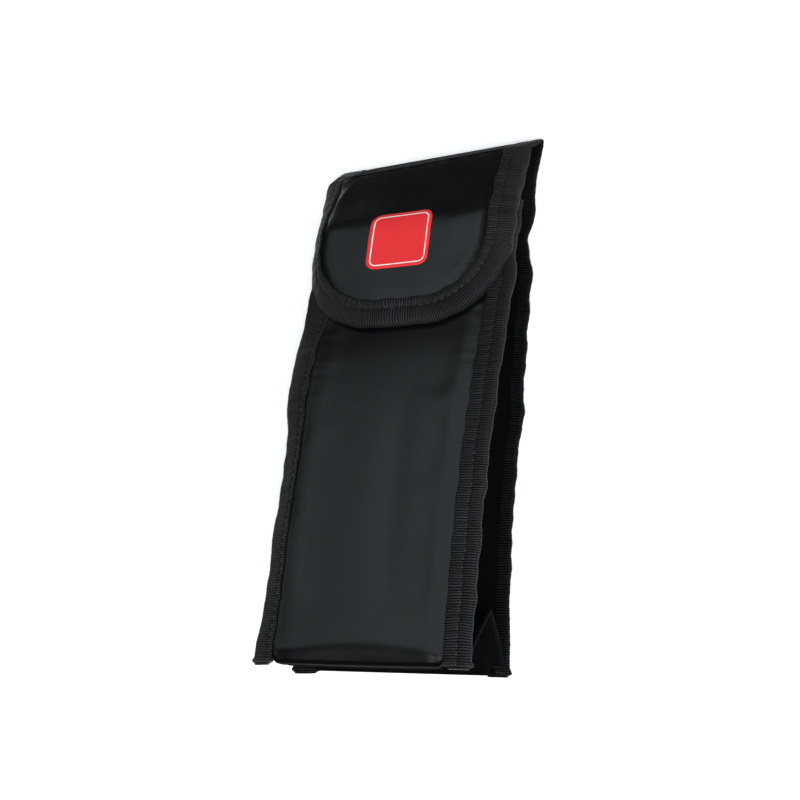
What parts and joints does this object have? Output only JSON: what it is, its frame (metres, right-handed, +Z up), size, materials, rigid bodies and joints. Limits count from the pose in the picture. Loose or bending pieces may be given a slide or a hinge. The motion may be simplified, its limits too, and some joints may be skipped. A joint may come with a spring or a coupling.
{
  "type": "soft case",
  "caption": "Slim black soft case with tape-bound edges, folding side gussets, a pleated bottom and a round-cornered flap that folds over its mouth.",
  "frame": {"origin": "centre of the footprint on the surface that the case lies on, at its back's outer face", "axes": "+X to the right seen from the front, +Y along the case to the flap end, +Z up out of the front"},
  "size_m": [0.087, 0.21, 0.036],
  "materials": {
    "coated_fabric": "satin coated",
    "gusset_fabric": "matte",
    "padding": "closed-cell foam",
    "lining": "smooth woven",
    "binding_tape": "ribbed",
    "hook_tape": "hooked",
    "loop_tape": "brushed loop",
    "label": "smooth"
  },
  "bodies": {
    "pouch": {"back_outer": "coated_fabric", "back_pad": "padding", "back_lining": "lining", "back_left_binding": "binding_tape", "back_right_binding": "binding_tape", "front_outer": "coated_fabric", "front_pad": "padding", "front_lining": "lining", "front_left_binding": "binding_tape", "front_right_binding": "binding_tape", "mouth_binding": "binding_tape", "left_gusset": "gusset_fabric", "right_gusset": "gusset_fabric", "bottom_pleat": "coated_fabric", "loop_patch": "loop_tape"},
    "fold": {"fold_outer": "coated_fabric", "fold_lining": "lining", "fold_left_binding": "binding_tape", "fold_right_binding": "binding_tape"},
    "flap": {"flap_outer": "coated_fabric", "flap_pad": "padding", "flap_lining": "lining", "flap_binding": "binding_tape", "hook_patch": "hook_tape", "badge": "label"}
  },
  "joints": [
    {"name": "fold_hinge", "type": "hinge", "parent": "pouch", "child": "fold", "pos_m": [0, 0.1041, 0.00103], "axis": [-1, 0, 0], "range_deg": [0, 108]},
    {"name": "flap_hinge", "type": "hinge", "parent": "fold", "child": "flap", "pos_m": [0, 0.0977, 0.00997], "axis": [-1, 0, 0], "range_deg": [0, 54]}
  ],
  "couplings": [
    {"joint": "fold_hinge", "follows": "flap_hinge", "ratio": 2}
  ]
}
